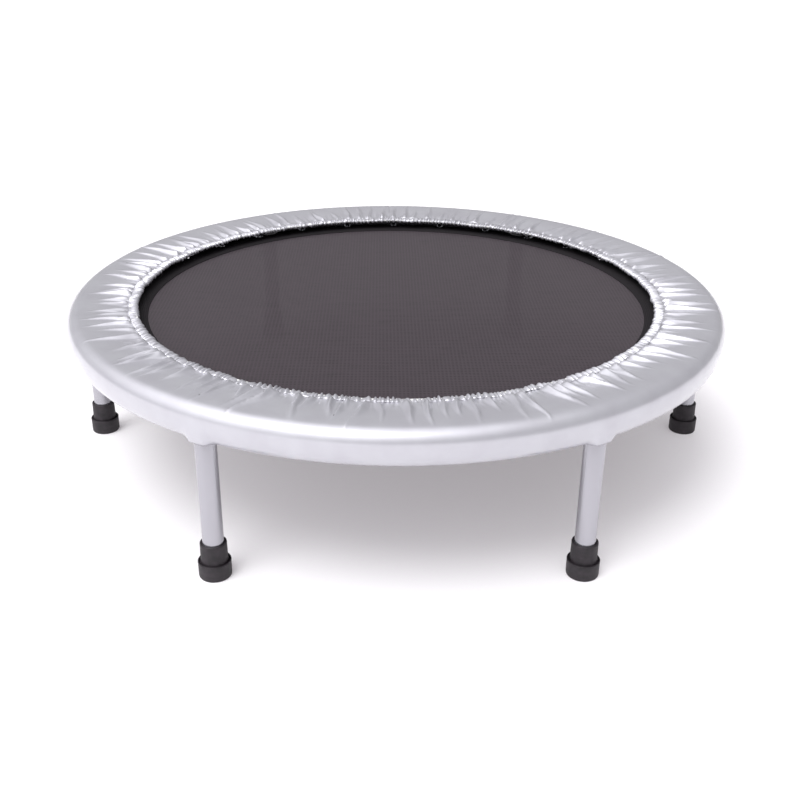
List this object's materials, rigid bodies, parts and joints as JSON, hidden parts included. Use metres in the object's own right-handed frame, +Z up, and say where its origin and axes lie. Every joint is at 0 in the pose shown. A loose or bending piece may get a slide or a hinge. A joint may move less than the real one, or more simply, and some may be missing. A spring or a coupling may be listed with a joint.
{
  "type": "mini trampoline",
  "caption": "Round low exercise trampoline: tubular ring frame on screw-on legs with rubber feet, sprung woven mat and gathered silver cover.",
  "frame": {"origin": "on the floor under the centre of the mat", "axes": "+Z up, square to the mat; +X through leg 1 and -X through leg 4, so the front pair of legs is on -Y"},
  "size_m": [0.9186, 0.9144, 0.2286],
  "materials": {
    "silver_vinyl": "metallic silver PVC-coated cover fabric, satin",
    "elastic": "covered elastic cord",
    "mat_weave": "woven black polypropylene, matt and slightly see-through",
    "webbing": "black polypropylene webbing with sewn-in wire rings",
    "frame_paint": "black powder coat",
    "leg_paint": "smooth silver enamel",
    "zinc_plate": "bright zinc plate",
    "spring_zinc": "bright zinc-plated spring wire",
    "foot_rubber": "moulded black rubber, matt"
  },
  "bodies": {
    "frame": {"frame_half_left": "frame_paint", "frame_half_right": "frame_paint", "joint_sleeve_1": "zinc_plate", "joint_sleeve_2": "zinc_plate", "joint_bolt_1": "zinc_plate", "joint_bolt_2": "zinc_plate", "joint_bolt_3": "zinc_plate", "joint_bolt_4": "zinc_plate", "leg_socket_1": "frame_paint", "leg_socket_2": "frame_paint", "leg_socket_3": "frame_paint", "leg_socket_4": "frame_paint", "leg_socket_5": "frame_paint", "leg_socket_6": "frame_paint", "cover": "silver_vinyl", "hem_elastic": "elastic", "spring_01": "spring_zinc", "spring_02": "spring_zinc", "spring_03": "spring_zinc", "spring_04": "spring_zinc", "spring_05": "spring_zinc", "spring_06": "spring_zinc", "spring_07": "spring_zinc", "spring_08": "spring_zinc", "spring_09": "spring_zinc", "spring_10": "spring_zinc", "spring_11": "spring_zinc", "spring_12": "spring_zinc", "spring_13": "spring_zinc", "spring_14": "spring_zinc", "spring_15": "spring_zinc", "spring_16": "spring_zinc", "spring_17": "spring_zinc", "spring_18": "spring_zinc", "spring_19": "spring_zinc", "spring_20": "spring_zinc", "spring_21": "spring_zinc", "spring_22": "spring_zinc", "spring_23": "spring_zinc", "spring_24": "spring_zinc", "spring_25": "spring_zinc", "spring_26": "spring_zinc", "spring_27": "spring_zinc", "spring_28": "spring_zinc", "spring_29": "spring_zinc", "spring_30": "spring_zinc"},
    "bed": {"mat": "mat_weave", "mat_border": "webbing"},
    "leg_1": {"leg_tube_1": "leg_paint", "foot_1": "foot_rubber"},
    "leg_2": {"leg_tube_2": "leg_paint", "foot_2": "foot_rubber"},
    "leg_3": {"leg_tube_3": "leg_paint", "foot_3": "foot_rubber"},
    "leg_4": {"leg_tube_4": "leg_paint", "foot_4": "foot_rubber"},
    "leg_5": {"leg_tube_5": "leg_paint", "foot_5": "foot_rubber"},
    "leg_6": {"leg_tube_6": "leg_paint", "foot_6": "foot_rubber"}
  },
  "joints": [
    {"name": "bed_bounce", "type": "slide", "parent": "frame", "child": "bed", "axis": [0, 0, 1], "range_m": [-0.085, 0.008], "stiffness_N_per_m": 6000, "deforming": ["spring_01", "spring_02", "spring_03", "spring_04", "spring_05", "spring_06", "spring_07", "spring_08", "spring_09", "spring_10", "spring_11", "spring_12", "spring_13", "spring_14", "spring_15", "spring_16", "spring_17", "spring_18", "spring_19", "spring_20", "spring_21", "spring_22", "spring_23", "spring_24", "spring_25", "spring_26", "spring_27", "spring_28", "spring_29", "spring_30"]},
    {"name": "leg_1_unscrew", "type": "slide", "parent": "frame", "child": "leg_1", "axis": [0, 0, -1], "range_m": [0, 0.03]},
    {"name": "leg_2_unscrew", "type": "slide", "parent": "frame", "child": "leg_2", "axis": [0, 0, -1], "range_m": [0, 0.03]},
    {"name": "leg_3_unscrew", "type": "slide", "parent": "frame", "child": "leg_3", "axis": [0, 0, -1], "range_m": [0, 0.03]},
    {"name": "leg_4_unscrew", "type": "slide", "parent": "frame", "child": "leg_4", "axis": [0, 0, -1], "range_m": [0, 0.03]},
    {"name": "leg_5_unscrew", "type": "slide", "parent": "frame", "child": "leg_5", "axis": [0, 0, -1], "range_m": [0, 0.03]},
    {"name": "leg_6_unscrew", "type": "slide", "parent": "frame", "child": "leg_6", "axis": [0, 0, -1], "range_m": [0, 0.03]}
  ]
}
